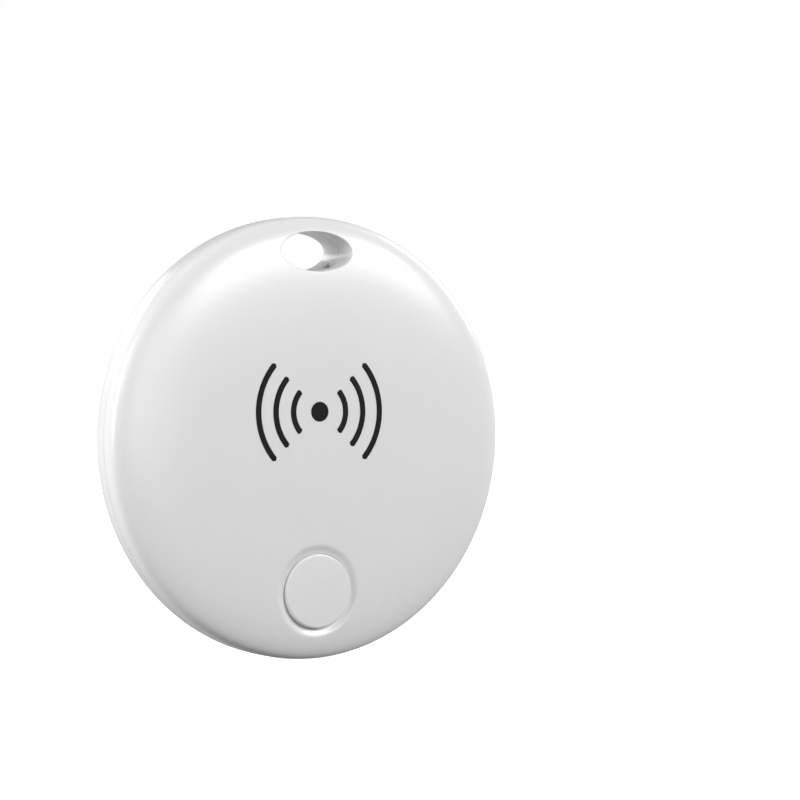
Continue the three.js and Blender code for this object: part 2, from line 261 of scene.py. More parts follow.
def revolve(name, profile, segments=96, centre=(0.0, 0.0)):
    """Turns (radius, y) points about the Y axis. The profile starts and ends on the axis, or is closed."""
    on_axis = profile[0][0] == 0
    points, rings = [], []
    for r, y in profile:
        if r == 0:
            rings.append([len(points)] * segments)
            points.append((centre[0], y, centre[1]))
            continue
        rings.append(list(range(len(points), len(points) + segments)))
        for i in range(segments):
            x, z = on_circle(r, 360 * i / segments)
            points.append((centre[0] + x, y, centre[1] + z))
    faces = []
    pairs = list(zip(rings, rings[1:])) + ([] if on_axis else [(rings[-1], rings[0])])
    for low, high in pairs:
        for i in range(segments):
            j = (i + 1) % segments
            corners = [low[i], low[j], high[j], high[i]]
            faces.append(list(dict.fromkeys(corners)))
    return new_object(name, points, faces)


def disc(name, radius, y0, y1, segments=96, centre=(0.0, 0.0)):
    return revolve(name, [(0, y0), (radius, y0), (radius, y1), (0, y1)], segments, centre)


def tube(name, inner, outer, y0, y1, segments=96, centre=(0.0, 0.0)):
    return revolve(name, [(inner, y0), (outer, y0), (outer, y1), (inner, y1)], segments, centre)


def prism(name, outline, y0, y1):
    """A flat X, Z outline made solid between two depths."""
    count = len(outline)
    points = [(x, y, z) for y in (y0, y1) for x, z in outline]
    faces = [list(range(count)), list(range(2 * count - 1, count - 1, -1))]
    for i in range(count):
        j = (i + 1) % count
        faces.append([i, j, count + j, count + i])
    return new_object(name, points, faces)


def block(name, x0, x1, y0, y1, z0, z1):
    return prism(name, [(x0, z0), (x1, z0), (x1, z1), (x0, z1)], y0, y1)


def collar_prism(name, growth, y0, y1):
    return prism(name, KEYRING.outline(growth).tolist(), y0, y1)


def combine(target, tool, operation):
    """Joins to or cuts from a solid, and removes the tool."""
    modifier = target.modifiers.new(operation, "BOOLEAN")
    modifier.operation = operation
    modifier.solver = "MANIFOLD"
    modifier.object = tool
    bpy.context.view_layer.objects.active = target
    bpy.ops.object.modifier_apply(modifier=modifier.name)
    bpy.data.objects.remove(tool)
    return target


def cut(target, *tools):
    for tool in tools:
        combine(target, tool, "DIFFERENCE")
    return target


def join(target, *tools):
    for tool in tools:
        combine(target, tool, "UNION")
    return target


def taken_apart(obj):
    """An object's points, in millimetres in the disc's frame, and its faces. The object is removed."""
    points = [tuple(v.co / MM - Vector((0, 0, CENTRE_Z))) for v in obj.data.vertices]
    faces = [list(p.vertices) for p in obj.data.polygons]
    bpy.data.objects.remove(obj)
    return points, faces


def gather(name, objects):
    """Puts separate solids that don't touch each other into one object."""
    points, faces = [], []
    for obj in objects:
        first = len(points)
        obj_points, obj_faces = taken_apart(obj)
        points += obj_points
        faces += [[first + i for i in face] for face in obj_faces]
    return new_object(name, points, faces)


# ---- The two shells' outer skins ----
KEYRING = Oval(HOLE_HALF_WIDTH, HOLE_HALF_HEIGHT, (0, HOLE_Z))
BUTTON_OPENING = circle(BUTTON_HOLE, (0, BUTTON_Z))
SOUND_HOLES = [circle(SOUND_HOLE_RADIUS, (step * SOUND_HOLE_PITCH, 0), 0.1) for step in (-1, 0, 1)]
BAR_SHAPES = [Obround(length / 2, width / 2, (0, height), 0.15) for length, width, height in BARS]
DIMPLES = [
    circle(DIMPLE_RADIUS, (step * DIMPLE_PITCH, height), 0.1)
    for _, _, height in BARS[1:]
    for step in (-1, 0, 1)
]


def front_height(points):
    """Height of the front skin over the seam plane."""
    height = pebble_depth(RADIUS, FRONT_DEPTH, np.hypot(*points.T))
    height = height - rounded_drop(KEYRING.distance(points), 0.12)
    from_axis = BUTTON_OPENING.distance(points) + BUTTON_HOLE
    dish = smooth_step((MOAT_RADIUS + MOAT_EDGE - from_axis) / (MOAT_RADIUS + MOAT_EDGE - BUTTON_HOLE))
    return height - MOAT_DEPTH * dish - rounded_drop(BUTTON_OPENING.distance(points), 0.025)


def rear_height(points):
    """Height of the back skin over the seam plane."""
    height = pebble_depth(RADIUS, REAR_DEPTH, np.hypot(*points.T))
    height = height - rounded_drop(KEYRING.distance(points), 0.2)
    for bar in BAR_SHAPES:
        height = height + BAR_RISE * smooth_step((0.05 - bar.distance(points)) / 0.17)
    for dimple in DIMPLES:
        height = height - DIMPLE_DEPTH * smooth_step((0.04 - dimple.distance(points)) / 0.14)
    for hole in SOUND_HOLES:
        height = height - rounded_drop(hole.distance(points), 0.1)
    return height


def face_points(openings, details):
    """Free points of a face: rings about its centre, and bands that follow each opening and raised detail."""
    points = []
    radii = np.concatenate([np.arange(0.5, 13, 0.5), np.linspace(13, RIM_JOIN, 18)[:-1]])
    for k, r in enumerate(radii):
        count = max(6, round(2 * math.pi * r / POINT_SPACING))
        points += [on_circle(r, 360 * (i + 0.5 * (k % 2)) / count) for i in range(count)]
    points = np.array(points)
    for shape, offsets in openings + details:
        away = shape.distance(points)
        points = points[(away > max(offsets) + BAND_MARGIN) | (away < min(offsets) - BAND_MARGIN)]
        bands = np.concatenate([shape.outline(offset) for offset in offsets if offset > -shape.reach])
        points = np.concatenate([points, bands])
    for shape, _ in openings:
        points = points[shape.distance(points) > 0.004]
    return points[np.hypot(*points.T) < RIM_JOIN - 0.05]


def triangulate(loops, free_points, openings, growth=0.0):
    """Fills between loops, outside the grown openings: flat points, triangles and each loop's indices."""
    flat = [Vector(p) for p in free_points]
    edges, starts = [], []
    for loop in loops:
        starts.append(len(flat))
        edges += [(starts[-1] + i, starts[-1] + (i + 1) % len(loop)) for i in range(len(loop))]
        flat += [Vector(p) for p in loop]
    points, _, triangles, origin, _, _ = delaunay_2d_cdt(flat, edges, [], 0, 1e-6)
    place_of = {old: new for new, olds in enumerate(origin) for old in olds}
    points = np.array([tuple(p) for p in points])
    kept = []
    for triangle in triangles:
        middle = points[triangle].mean(0)[None]
        if all(shape.distance(middle)[0] > growth - 0.0005 for shape in openings):
            kept.append(list(triangle))
    indices = [[place_of[start + i] for i in range(len(loop))] for start, loop in zip(starts, loops)]
    return points, kept, indices


def shell_blank(name, side, depth, height, openings, details):
    """A closed half of the pebble: skin, rim, the walls of its openings and a flat face at the seam."""
    shapes = [shape for shape, _ in openings]
    join_loop = np.array([on_circle(RIM_JOIN, 360 * i / ROUND) for i in range(ROUND)])
    loops = [join_loop] + [shape.outline() for shape in shapes]
    flat, faces, indices = triangulate(loops, face_points(openings, details), shapes)
    heights = height(flat)
    points = [(x, side * h, z) for (x, z), h in zip(flat, heights)]

    def add_ring(outline, y):
        first = len(points)
        points.extend((x, side * y, z) for x, z in outline)
        return list(range(first, first + len(outline)))

    def add_wall(ring_a, ring_b):
        count = len(ring_a)
        for i in range(count):
            j = (i + 1) % count
            faces.append([ring_a[i], ring_a[j], ring_b[j], ring_b[i]])

    start = pebble_depth(RADIUS, depth, RIM_JOIN)
    ring = indices[0]
    levels = [(y, 0) for y in np.linspace(start, SEAM + SEAM_WALL, RIM_RINGS)[1:]]
    levels += [(SEAM + rise, inset) for rise, inset in SEAM_EDGE]
    for y, inset in levels:
        r = pebble_radius(RADIUS, depth, y) - inset
        following = add_ring([on_circle(r, 360 * i / ROUND) for i in range(ROUND)], y)
        add_wall(ring, following)
        ring = following
    seam_loops = [(ring, [on_circle(r, 360 * i / ROUND) for i in range(ROUND)])]
    for shape, ring in zip(shapes, indices[1:]):
        for rise, offset in ((SEAM_WALL, 0), *SEAM_EDGE):
            following = add_ring(shape.outline(offset), SEAM + rise)
            add_wall(ring, following)
            ring = following
        seam_loops.append((ring, shape.outline(offset)))
    _, seam_faces, seam_indices = triangulate([outline for _, outline in seam_loops], [], shapes, offset)
    placed = {}
    for (ring, _), flat_indices in zip(seam_loops, seam_indices):
        placed.update(zip(flat_indices, ring))
    faces += [[placed[i] for i in face] for face in seam_faces]
    return new_object(name, points, faces)


HOLE_BANDS = (0.01, 0.03, 0.06, 0.09, 0.12, 0.16, 0.2, 0.3, 0.45, 0.65)
MOAT_BANDS = (0.02, 0.05, 0.12, 0.2, 0.27, 0.34, 0.41, 0.48, 0.55, 0.62, 0.69, 0.77, 0.85, 1.05)
SOUND_BANDS = (0.02, 0.05, 0.1, 0.16)
BAR_BANDS = (-0.3, -0.17, -0.125, -0.1, -0.07, -0.035, 0.0, 0.025, 0.05, 0.09, 0.18, 0.3)
DIMPLE_BANDS = (-0.3, -0.18, -0.1, -0.06, -0.03, 0.0, 0.04, 0.1)


# ---- Case ----
def inner_pebble(side, radius, depth, from_y, steps=14):
    """(radius, y) points of a shell's inner surface from its axis to from_y."""
    points = [(0.0, side * depth)]
    for y in np.linspace(depth * 0.9995, from_y, steps):
        points.append((float(pebble_radius(radius, depth, y)), side * float(y)))
    return points


def front_shell():
    blank = shell_blank(
        "front_case", -1, FRONT_DEPTH, front_height, [(KEYRING, HOLE_BANDS), (BUTTON_OPENING, MOAT_BANDS)], []
    )
    floor = FRONT_DEPTH - FACE_WALL
    profile = inner_pebble(-1, RADIUS - RIM_WALL, floor, SEAT_DEPTH)
    profile += [(SEAT_RADIUS, -SEAT_DEPTH), (SEAT_RADIUS, 1), (0, 1)]
    hollow = revolve("hollow", profile, SHELL_SEGMENTS)
    cut(hollow, collar_prism("collar", COLLAR, -THROUGH, THROUGH))
    cut(hollow, collar_prism("seal_step", COLLAR + 0.75, -THROUGH, -SEAT_DEPTH))
    cut(blank, hollow)

    inside = [tube("pocket", POCKET, POCKET + POCKET_WALL, -floor - 0.3, 1, 96, (0, CELL_Z))]
    for angle in POST_ANGLES:
        post = [
            (0, -floor), (0.95, -floor), (0.95, BOARD_FRONT - 0.05), (0.5, BOARD_FRONT - 0.05),
            (0.5, BOARD_REAR + 0.06), (0.9, BOARD_REAR + 0.09), (0.85, BOARD_REAR + 0.24),
            (0.6, BOARD_REAR + 0.4), (0.3, BOARD_REAR + 0.46), (0, BOARD_REAR + 0.48),
        ]
        inside.append(revolve("post", post, 32, on_circle(POST_RADIUS, angle)))
    join(blank, gather("inside", inside))

    slots = disc("cell_floor", POCKET, -floor, THROUGH, 96, (0, CELL_Z))
    join(slots, block("leaf_slot", 1.5, 14, -floor, -0.1, CELL_Z - 1.8, CELL_Z + 1.8))
    join(slots, block("arm_slot", -14, -9, 0.1, 2, CELL_Z - 1.8, CELL_Z + 1.8))
    cut(blank, slots, disc("button_room", 3.95, BOSS_FACE, 2, 64, (0, BUTTON_Z)), pry_notch())
    return smooth(blank)


def pry_notch():
    """A slot across the seam in the keyring hole's wall."""
    return block("pry_notch", *NOTCH_SIDES, *NOTCH_DEPTHS, *(HOLE_Z - below for below in NOTCH_BELOW))


def perimeter_band(name, y0, y1):
    """The band just inside the rim that passes below the keyring hole."""
    band = disc(name, LIP_OUTER, y0, y1, SHELL_SEGMENTS)
    cut(band, collar_prism("keep_out", COLLAR + 0.12, -THROUGH, THROUGH))
    core = disc("core", LIP_INNER, -THROUGH, THROUGH, SHELL_SEGMENTS)
    return cut(band, cut(core, collar_prism("bow", COLLAR + 0.7, -THROUGH - 1, THROUGH + 1)))


def rear_shell():
    openings = [(KEYRING, HOLE_BANDS)] + [(hole, SOUND_BANDS) for hole in SOUND_HOLES]
    details = [(bar, BAR_BANDS) for bar in BAR_SHAPES] + [(dimple, DIMPLE_BANDS) for dimple in DIMPLES]
    blank = shell_blank("rear_case", 1, REAR_DEPTH, rear_height, openings, details)
    floor = REAR_DEPTH - FACE_WALL
    profile = inner_pebble(1, RADIUS - RIM_WALL, floor, 0.05) + [(RADIUS - RIM_WALL, -1), (0, -1)]
    hollow = revolve("hollow", profile, SHELL_SEGMENTS)
    cut(hollow, collar_prism("collar", COLLAR, -THROUGH, THROUGH))
    cut(blank, hollow)

    seat_wall = tube("seat_wall", PIEZO_SEAT_RADIUS, PIEZO_SEAT_RADIUS + 0.6, 1.75, 2.6, SHELL_SEGMENTS)
    inside = [join(perimeter_band("lip", -LIP_REACH, 0.9), seat_wall)]
    for angle in RIB_ANGLES:
        inside.append(disc("rib", 0.6, BOARD_REAR + 0.05, 2.4, 32, on_circle(POST_RADIUS, angle)))
    join(blank, gather("inside", inside))
    cut(blank, disc("piezo_seat", PIEZO_SEAT_RADIUS, 1, PIEZO_SEAT_Y, SHELL_SEGMENTS))
    cut(blank, pry_notch())
    return smooth(blank)


CAP_EDGE = 0.24
CAP_FLANGE = 3.8
CAP_FLANGE_FRONT = -1.65
CAP_BACK = -1.3


def button_cap():
    profile = [(0, CAP_FACE)]
    for turn in np.linspace(0, math.pi / 2, 9):
        set_in = CAP_EDGE * (1 - math.sin(turn))
        profile.append((CAP_RADIUS - set_in, CAP_FACE + CAP_EDGE * (1 - math.cos(turn))))
    profile += [(CAP_RADIUS, CAP_FLANGE_FRONT), (CAP_FLANGE, CAP_FLANGE_FRONT)]
    profile += [(CAP_FLANGE, CAP_BACK), (0, CAP_BACK)]
    return smooth(revolve("push_button", profile, SHELL_SEGMENTS, (0, BUTTON_Z)))


# ---- Printed sign on the front face ----
SIGN_Z = 2.31
SIGN_STROKE = 0.52
SIGN_ARCS = (2.55, 4.25, 5.92)
SIGN_REACH = 44  # degrees to each side of an arc's middle
SIGN_DOT = 0.85
INK_LIFT = 0.012
INK_THICKNESS = 0.018


def sign():
    """A dot with arcs to its left and right, laid on the front face as a thin film of ink."""
    points, faces = [], []

    def add_patch(rows):
        first, width = len(points), len(rows[0])
        for row in rows:
            points.extend(row)
        for i in range(len(rows) - 1):
            for j in range(width - 1):
                a = first + i * width + j
                faces.append([a, a + 1, a + width + 1, a + width])

    for radius in SIGN_ARCS:
        for middle in (0, 180):
            rows = []
            for i in range(49):
                at = -1 + 2 * i / 48
                arc = math.radians(middle + SIGN_REACH * at)
                end = max(0.0, (abs(at) - 0.955) / 0.045)
                half = SIGN_STROKE / 2 * math.sqrt(max(0.0, 1 - end * end))
                rows.append([
                    (math.cos(arc) * (radius + half * k), math.sin(arc) * (radius + half * k))
                    for k in np.linspace(-1, 1, 5)
                ])
            add_patch(rows)
    turns = np.linspace(0, 2 * math.pi, 49)
    add_patch([[(r * math.cos(a), r * math.sin(a)) for a in turns] for r in (0.0001, 0.45, SIGN_DOT)])
    flat = np.array(points) + (0, SIGN_Z)
    solid = [(x, -h - INK_LIFT, z) for (x, z), h in zip(flat, front_height(flat))]
    obj = new_object("front_sign", solid, faces)
    thickness = obj.modifiers.new("ink", "SOLIDIFY")
    thickness.thickness = INK_THICKNESS * MM
    thickness.offset = 0
    bpy.context.view_layer.objects.active = obj
    bpy.ops.object.modifier_apply(modifier=thickness.name)
    return smooth(obj)


# ---- Pieces inside, each built from parts of one material: (points, faces, material) ----
BOARD_RADIUS = 16.7
BOARD_CUTOUT = 11.0
COPPER = 0.03  # how far pads and solder stand off the board


def box_part(material, a0, a1, y0, y1, c0, c1, edge=0.03, segments=2):
    """A box with rounded edges."""
    mesh = bmesh.new()
    bmesh.ops.create_cube(mesh, size=1)
    for vertex in mesh.verts:
        along, up, across = vertex.co + Vector((0.5, 0.5, 0.5))
        vertex.co = (a0 + (a1 - a0) * along, y0 + (y1 - y0) * up, c0 + (c1 - c0) * across)
    if edge:
        bmesh.ops.bevel(mesh, geom=mesh.edges[:], offset=edge, segments=segments, affect="EDGES", profile=0.5)
    mesh.verts.index_update()
    points = [tuple(v.co) for v in mesh.verts]
    faces = [[v.index for v in f.verts] for f in mesh.faces]
    mesh.free()
    return points, faces, material


def turned_part(material, profile, segments=32, centre=(0.0, 0.0)):
    """Turns (radius, y) points about an axis along Y."""
    return *taken_apart(revolve("part", profile, segments, centre)), material


def strip_part(material, outline, c0, c1):
    """A bent strip: an outline in along and up, as wide as asked."""
    count = len(outline)
    points = [(a, y, c) for c in (c0, c1) for a, y in outline]
    faces = [list(range(count)), list(range(2 * count - 1, count - 1, -1))]
    faces += [[i, (i + 1) % count, count + (i + 1) % count, count + i] for i in range(count)]
    return points, faces, material


def assemble(name, parts, place=None, degrees=40):
    """One object from parts. place turns a part's (along, up, across) into the disc's frame."""
    points, faces, used, owners = [], [], [], []
    for part_points, part_faces, material in parts:
        first = len(points)
        points += [place(point) for point in part_points] if place else part_points
        faces += [[first + i for i in face] for face in part_faces]
        if material not in used:
            used.append(material)
        owners += [used.index(material)] * len(part_faces)
    obj = new_object(name, points, faces)
    for material in used:
        obj.data.materials.append(MATERIALS[material])
    for polygon, owner in zip(obj.data.polygons, owners):
        polygon.material_index = owner
    return smooth(obj, degrees)


def board_place(node):
    """Local axes of a component on the board's back: along the disc's edge, up off the board, outwards."""
    low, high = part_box(node)
    middle = (low + high) / 2 / MM
    angle = math.atan2(middle.z - CENTRE_Z, middle.x)
    sine, cosine = math.sin(angle), math.cos(angle)
    x, z = middle.x, middle.z - CENTRE_Z

    def place(point):
        along, up, across = point
        return x + along * sine + across * cosine, BOARD_REAR + up, z - along * cosine + across * sine

    return place


def pad(a0, a1, c0, c1):
    return box_part("gold", a0, a1, 0, COPPER, c0, c1, 0)


def two_ends(body, along, across, tall, cap=0.25, top=None):
    """A chip capacitor, inductor or resistor: a fired body between two tinned ends."""
    a, c = along / 2, across / 2
    edge = 0.06 * across
    inset = 0.02
    core = a - cap * 0.7
    parts = [box_part(body, -core, core, COPPER + inset, tall - inset, -c + inset, c - inset, edge)]
    if top:
        parts.append(box_part(top, -a + cap, a - cap, tall - 0.05, tall - 0.005, -c + 0.05, c - 0.05, 0.01))
    for side in (-1, 1):
        inner, outer = side * (a - cap), side * a
        parts.append(box_part("tin", min(inner, outer), max(inner, outer), COPPER, tall, -c, c, edge))
        end = outer - side * inset
        fillet = [(outer + side * 0.14, COPPER), (end, tall * 0.5), (end, COPPER)]
        parts.append(strip_part("tin", fillet, -c + 0.04, c - 0.04))
        parts.append(pad(*sorted((inner, outer + side * 0.22)), -c - 0.04, c + 0.04))
    return parts


def radio_chip():
    half, tall = 2.5, 0.85
    parts = [box_part("chip", -half, half, 0.05, tall, -half, half, 0.05)]
    mark = [(0, tall - 0.02), (0.22, tall - 0.02), (0.22, tall + 0.004), (0, tall + 0.004)]
    parts.append(turned_part("chip_mark", mark, centre=(-1.9, 1.9)))
    for step in range(8):
        middle = -1.75 + 0.5 * step
        for side in (-1, 1):
            reach = sorted((side * (half - 0.35), side * (half + 0.3)))
            wall = sorted((side * (half - 0.1), side * (half + 0.015)))
            parts.append(pad(middle - 0.13, middle + 0.13, *reach))
            parts.append(pad(*reach, middle - 0.13, middle + 0.13))
            parts.append(box_part("tin", middle - 0.12, middle + 0.12, COPPER, 0.25, *wall, 0.01))
            parts.append(box_part("tin", *wall, COPPER, 0.25, middle - 0.12, middle + 0.12, 0.01))
    return parts


def crystal(along, across, tall):
    """A crystal in its package: a fired base under a seam-welded lid."""
    a, c = along / 2, across / 2
    parts = [
        box_part("dark_ceramic", -a, a, COPPER, tall * 0.55, -c, c, 0.04),
        box_part("steel", -a + 0.12, a - 0.12, tall * 0.5, tall, -c + 0.12, c - 0.12, 0.07, 3),
    ]
    for along_side in (-1, 1):
        for across_side in (-1, 1):
            reach = sorted((along_side * (a - 0.55), along_side * (a + 0.12)))
            side = sorted((across_side * (c - 0.45), across_side * (c + 0.08)))
            parts.append(pad(*reach, *side))
    return parts


def chip_antenna():
    """A ceramic block with a silver conductor wound round it."""
    a, c, tall = 3.25, 1.1, 0.94
    inset = 0.015
    core = box_part("white_ceramic", -a + 0.05, a - 0.05, COPPER, tall - inset, -c + inset, c - inset, 0.04)
    parts = [core]
    for side in (-1, 1):
        ends = sorted((side * (a - 0.4), side * a))
        parts.append(box_part("tin", *ends, COPPER, tall, -c, c, 0.04))
        parts.append(pad(*sorted((side * (a - 0.5), side * (a + 0.25))), -c, c))
    for step in range(8):
        middle = -2.38 + 0.68 * step
        parts.append(box_part("tin", middle - 0.13, middle + 0.13, COPPER, tall, -c, c, 0.02))
    return parts


def boost_inductor():
    """A drum core: two ferrite flanges with an enamelled copper winding between them."""
    winding = [(0.6, 0.28)]
    turns = 5
    for turn in range(turns):
        low = 0.28 + 0.42 * turn / turns
        winding += [(1.16, low + 0.01), (1.22, low + 0.042), (1.16, low + 0.074)]
    winding += [(0.6, 0.7)]
    flange = [(0, 0.68), (1.36, 0.68), (1.42, 0.73), (1.42, 0.93), (1.36, 0.98), (0, 0.98)]
    parts = [
        box_part("ferrite", -1.5, 1.5, 0.08, 0.3, -1.5, 1.5, 0.05),
        turned_part("enamel_copper", winding, 48),
        turned_part("ferrite", flange, 48),
    ]
    for side in (-1, 1):
        parts.append(box_part("tin", *sorted((side * 0.7, side * 1.52)), COPPER, 0.1, -1.45, 1.45, 0.02))
        parts.append(pad(*sorted((side * 0.65, side * 1.75)), -1.4, 1.4))
    return parts


def sounder_driver():
    """A six-lead package: a moulded body with gull-wing leads on both sides."""
    parts = [box_part("chip", -1.45, 1.45, 0.12, 1.03, -0.52, 0.52, 0.08, 3)]
    bend = [(0.45, 0.55), (0.62, 0.55), (0.7, 0.1), (0.84, 0.1)]
    bend += [(0.84, 0.03), (0.64, 0.03), (0.56, 0.47), (0.45, 0.47)]
    for step in (-1, 0, 1):
        for side in (-1, 1):
            middle = step * 0.95
            lead = strip_part("tin", [(side * c, y) for c, y in bend], middle - 0.2, middle + 0.2)
            parts.append(([(c, y, a) for a, y, c in lead[0]], lead[1], lead[2]))
            parts.append(pad(middle - 0.26, middle + 0.26, *sorted((side * 0.56, side * 0.98))))
    return parts


CHIP_PARTS = (1.0, 0.5, 0.55)
COMPONENTS = {
    "radio_chip": radio_chip,
    "main_crystal": lambda: crystal(2.0, 1.6, 0.54),
    "sleep_crystal": lambda: crystal(3.2, 1.5, 0.84),
    "chip_antenna": chip_antenna,
    "boost_inductor": boost_inductor,
    "sounder_driver": sounder_driver,
    "bulk_capacitor": lambda: two_ends("tan_ceramic", 3.2, 1.6, 1.04, 0.5),
    "antenna_capacitor_1": lambda: two_ends("grey_ceramic", *CHIP_PARTS),
    "antenna_inductor": lambda: two_ends("white_ceramic", *CHIP_PARTS, top="blue_glaze"),
    "antenna_capacitor_2": lambda: two_ends("grey_ceramic", *CHIP_PARTS),
    "supply_capacitor_1": lambda: two_ends("tan_ceramic", *CHIP_PARTS),
    "supply_capacitor_2": lambda: two_ends("tan_ceramic", *CHIP_PARTS),
    "crystal_capacitor_1": lambda: two_ends("tan_ceramic", *CHIP_PARTS),
    "crystal_capacitor_2": lambda: two_ends("tan_ceramic", *CHIP_PARTS),
    "button_resistor": lambda: two_ends("white_ceramic", *CHIP_PARTS, top="chip"),
    "driver_resistor": lambda: two_ends("white_ceramic", *CHIP_PARTS, top="chip"),
}


def components():
    for node, make in COMPONENTS.items():
        dress(assemble(node + "_detail", make(), board_place(node)), None, "case", slot_of[node], [node])


def circuit_board():
    board = disc("board_laminate", BOARD_RADIUS, BOARD_FRONT, BOARD_REAR, 192)
    cut(board, disc("cell_room", BOARD_CUTOUT, -THROUGH, THROUGH, 128, (0, CELL_Z)))
    cut(board, collar_prism("hole_room", COLLAR + 0.95, -THROUGH, THROUGH))
    cut(board, block("opening", -5.2, 5.2, -THROUGH, THROUGH, 10, 20))
    for angle in POST_ANGLES:
        cut(board, disc("peg_hole", 0.6, -THROUGH, THROUGH, 32, on_circle(POST_RADIUS, angle)))
    dress(smooth(board), "circuit_board", "case", "circuit_board", ["circuit_board"])


def arc_strip(material, radius, start, end, width=0.16, rise=0.012):
    """A copper trace under the mask that follows the disc's edge."""
    steps = max(2, round(abs(end - start) / 2))
    rows = []
    for i in range(steps + 1):
        angle = start + (end - start) * i / steps
        rows.append([on_circle(radius + side * width / 2, angle) for side in (-1, 1)])
    points, faces = [], []
    for inner, outer in rows:
        points += [(inner[0], BOARD_REAR, inner[1]), (inner[0], BOARD_REAR + rise, inner[1])]
        points += [(outer[0], BOARD_REAR + rise, outer[1]), (outer[0], BOARD_REAR, outer[1])]
    for i in range(steps):
        low, high = 4 * i, 4 * i + 4
        faces += [[low + k, low + (k + 1) % 4, high + (k + 1) % 4, high + k] for k in range(4)]
    faces += [[0, 1, 2, 3], [4 * steps + 3, 4 * steps + 2, 4 * steps + 1, 4 * steps]]
    return points, faces, material


def board_copper():
    """Traces, plated peg rings, vias and test pads on the back of the board."""
    arcs = [
        (11.95, -168, -96), (12.3, -140, -52), (15.95, -168, -112), (16.2, -104, -38), (15.6, -100, -62),
        (16.2, -18, 26), (15.7, 4, 30), (14.2, 2, 33), (13.4, 6, 36), (16.2, 52, 62), (16.2, 150, 196),
        (15.6, 148, 188), (14.0, 148, 176), (13.3, 144, 174), (12.6, 4, 34), (12.6, 146, 172),
    ]
    parts = [arc_strip("trace", *arc) for arc in arcs]
    for angle in POST_ANGLES:
        x, z = on_circle(POST_RADIUS, angle)
        ring = [(0.66, BOARD_REAR), (0.95, BOARD_REAR), (0.95, BOARD_REAR + 0.02), (0.66, BOARD_REAR + 0.02)]
        parts.append(turned_part("gold", ring, 40, (x, z)))
    spots = [(radius, angle, 0.17) for radius, start, end in arcs for angle in (start, end)]
    spots += [(14.9, 14, 0.5), (14.9, 22, 0.5), (14.8, 156, 0.5), (14.8, 164, 0.5), (14.8, 172, 0.5)]
    for radius, angle, size in spots:
        via = [(0, BOARD_REAR), (size, BOARD_REAR), (size, BOARD_REAR + 0.022), (0, BOARD_REAR + 0.022)]
        parts.append(turned_part("gold", via, 24, on_circle(radius, angle)))
    dress(assemble("board_copper", parts), None, "case", "circuit_board")


def cell_detail():
    """The coin cell: a can crimped over a gasket round the narrow pole, with a plus sign on its back."""
    front, rear = -1.6, 1.6
    can = [
        (9.3, front + 0.12), (9.62, front + 0.1), (9.82, front + 0.16), (9.95, front + 0.3),
        (10, front + 0.5), (10, rear - 0.45), (9.96, rear - 0.26), (9.86, rear - 0.1), (9.7, rear - 0.02),
        (9.5, rear),
        (0, rear), (0, rear - 0.25), (9.45, rear - 0.25), (9.68, rear - 0.35), (9.75, rear - 0.5),
        (9.75, front + 0.55), (9.68, front + 0.38), (9.55, front + 0.31), (9.3, front + 0.31),
    ]
    cap = [
        (0, front), (8.3, front), (8.5, front + 0.03), (8.68, front + 0.14), (8.75, front + 0.28),
        (8.75, -1.02), (8.82, -0.94), (9.05, -0.85), (9.05, 0.9), (8.85, 0.9), (8.85, -0.8), (8.55, -0.95),
        (8.55, -1.3), (8.45, -1.4), (0, -1.4),
    ]
    gasket = [
        (8.82, -1.47), (8.95, -1.5), (9.24, -1.46), (9.24, -1.24), (9.5, -1.24), (9.66, -1.02), (9.7, 1),
        (9.12, 1), (9.12, -0.88), (8.82, -1.03),
    ]
    body = revolve("cell_can_detail", can, CELL_SEGMENTS, (0, CELL_Z))
    arm, half = 1.7, 0.22
    for x, z in ((arm, half), (half, arm)):
        cut(body, block("plus", -x, x, rear - 0.05, rear + 1, CELL_Z - z, CELL_Z + z))
    dress(smooth(body), "can_steel", "cell", "steel", ["cell_can"])
    cap_obj = revolve("cell_cap_detail", cap, CELL_SEGMENTS, (0, CELL_Z))
    dress(smooth(cap_obj), "cap_steel", "cell", "steel", ["cell_cap"])
    gasket_obj = revolve("cell_gasket_detail", gasket, CELL_SEGMENTS, (0, CELL_Z))
    dress(smooth(gasket_obj), "black_plastic", "cell", "black_plastic", ["cell_gasket"])


def sounder():
    """A brass plate with a fired ceramic disc, silvered on its free face, behind the grille."""
    ceramic = [(0, 1.87), (10.7, 1.87), (10.8, 1.92), (10.8, 2.06), (0, 2.06)]
    silver = [(0, 1.855), (9.9, 1.855), (9.95, 1.862), (9.95, 1.875), (0, 1.875)]
    plate = [(0, 2.07), (12.74, 2.07), (12.8, 2.1), (12.8, 2.21), (12.74, 2.24), (0, 2.24)]
    glue = [(11.3, 2.26), (12.6, 2.26), (12.62, 2.34), (12.6, 2.43), (11.3, 2.43), (11.27, 2.34)]
    parts = [turned_part("ceramic", ceramic, CELL_SEGMENTS), turned_part("silver", silver, CELL_SEGMENTS)]
    dress(assemble("piezo_ceramic_detail", parts), None, "rear_cover", "ceramic", ["piezo_ceramic"])
    plate_obj = revolve("piezo_plate_detail", plate, CELL_SEGMENTS)
    dress(smooth(plate_obj), "brass", "rear_cover", "brass", ["piezo_plate"])
    glue_obj = revolve("piezo_glue_detail", glue, SHELL_SEGMENTS)
    dress(smooth(glue_obj), "adhesive", "rear_cover", "adhesive", ["piezo_adhesive"])
    mesh = prism("sound_mesh_detail", Obround(4.7, 1.4).outline().tolist(), 2.37, 2.47)
    dress(smooth(mesh), "sound_mesh", "rear_cover", "sound_mesh", ["sound_mesh"])


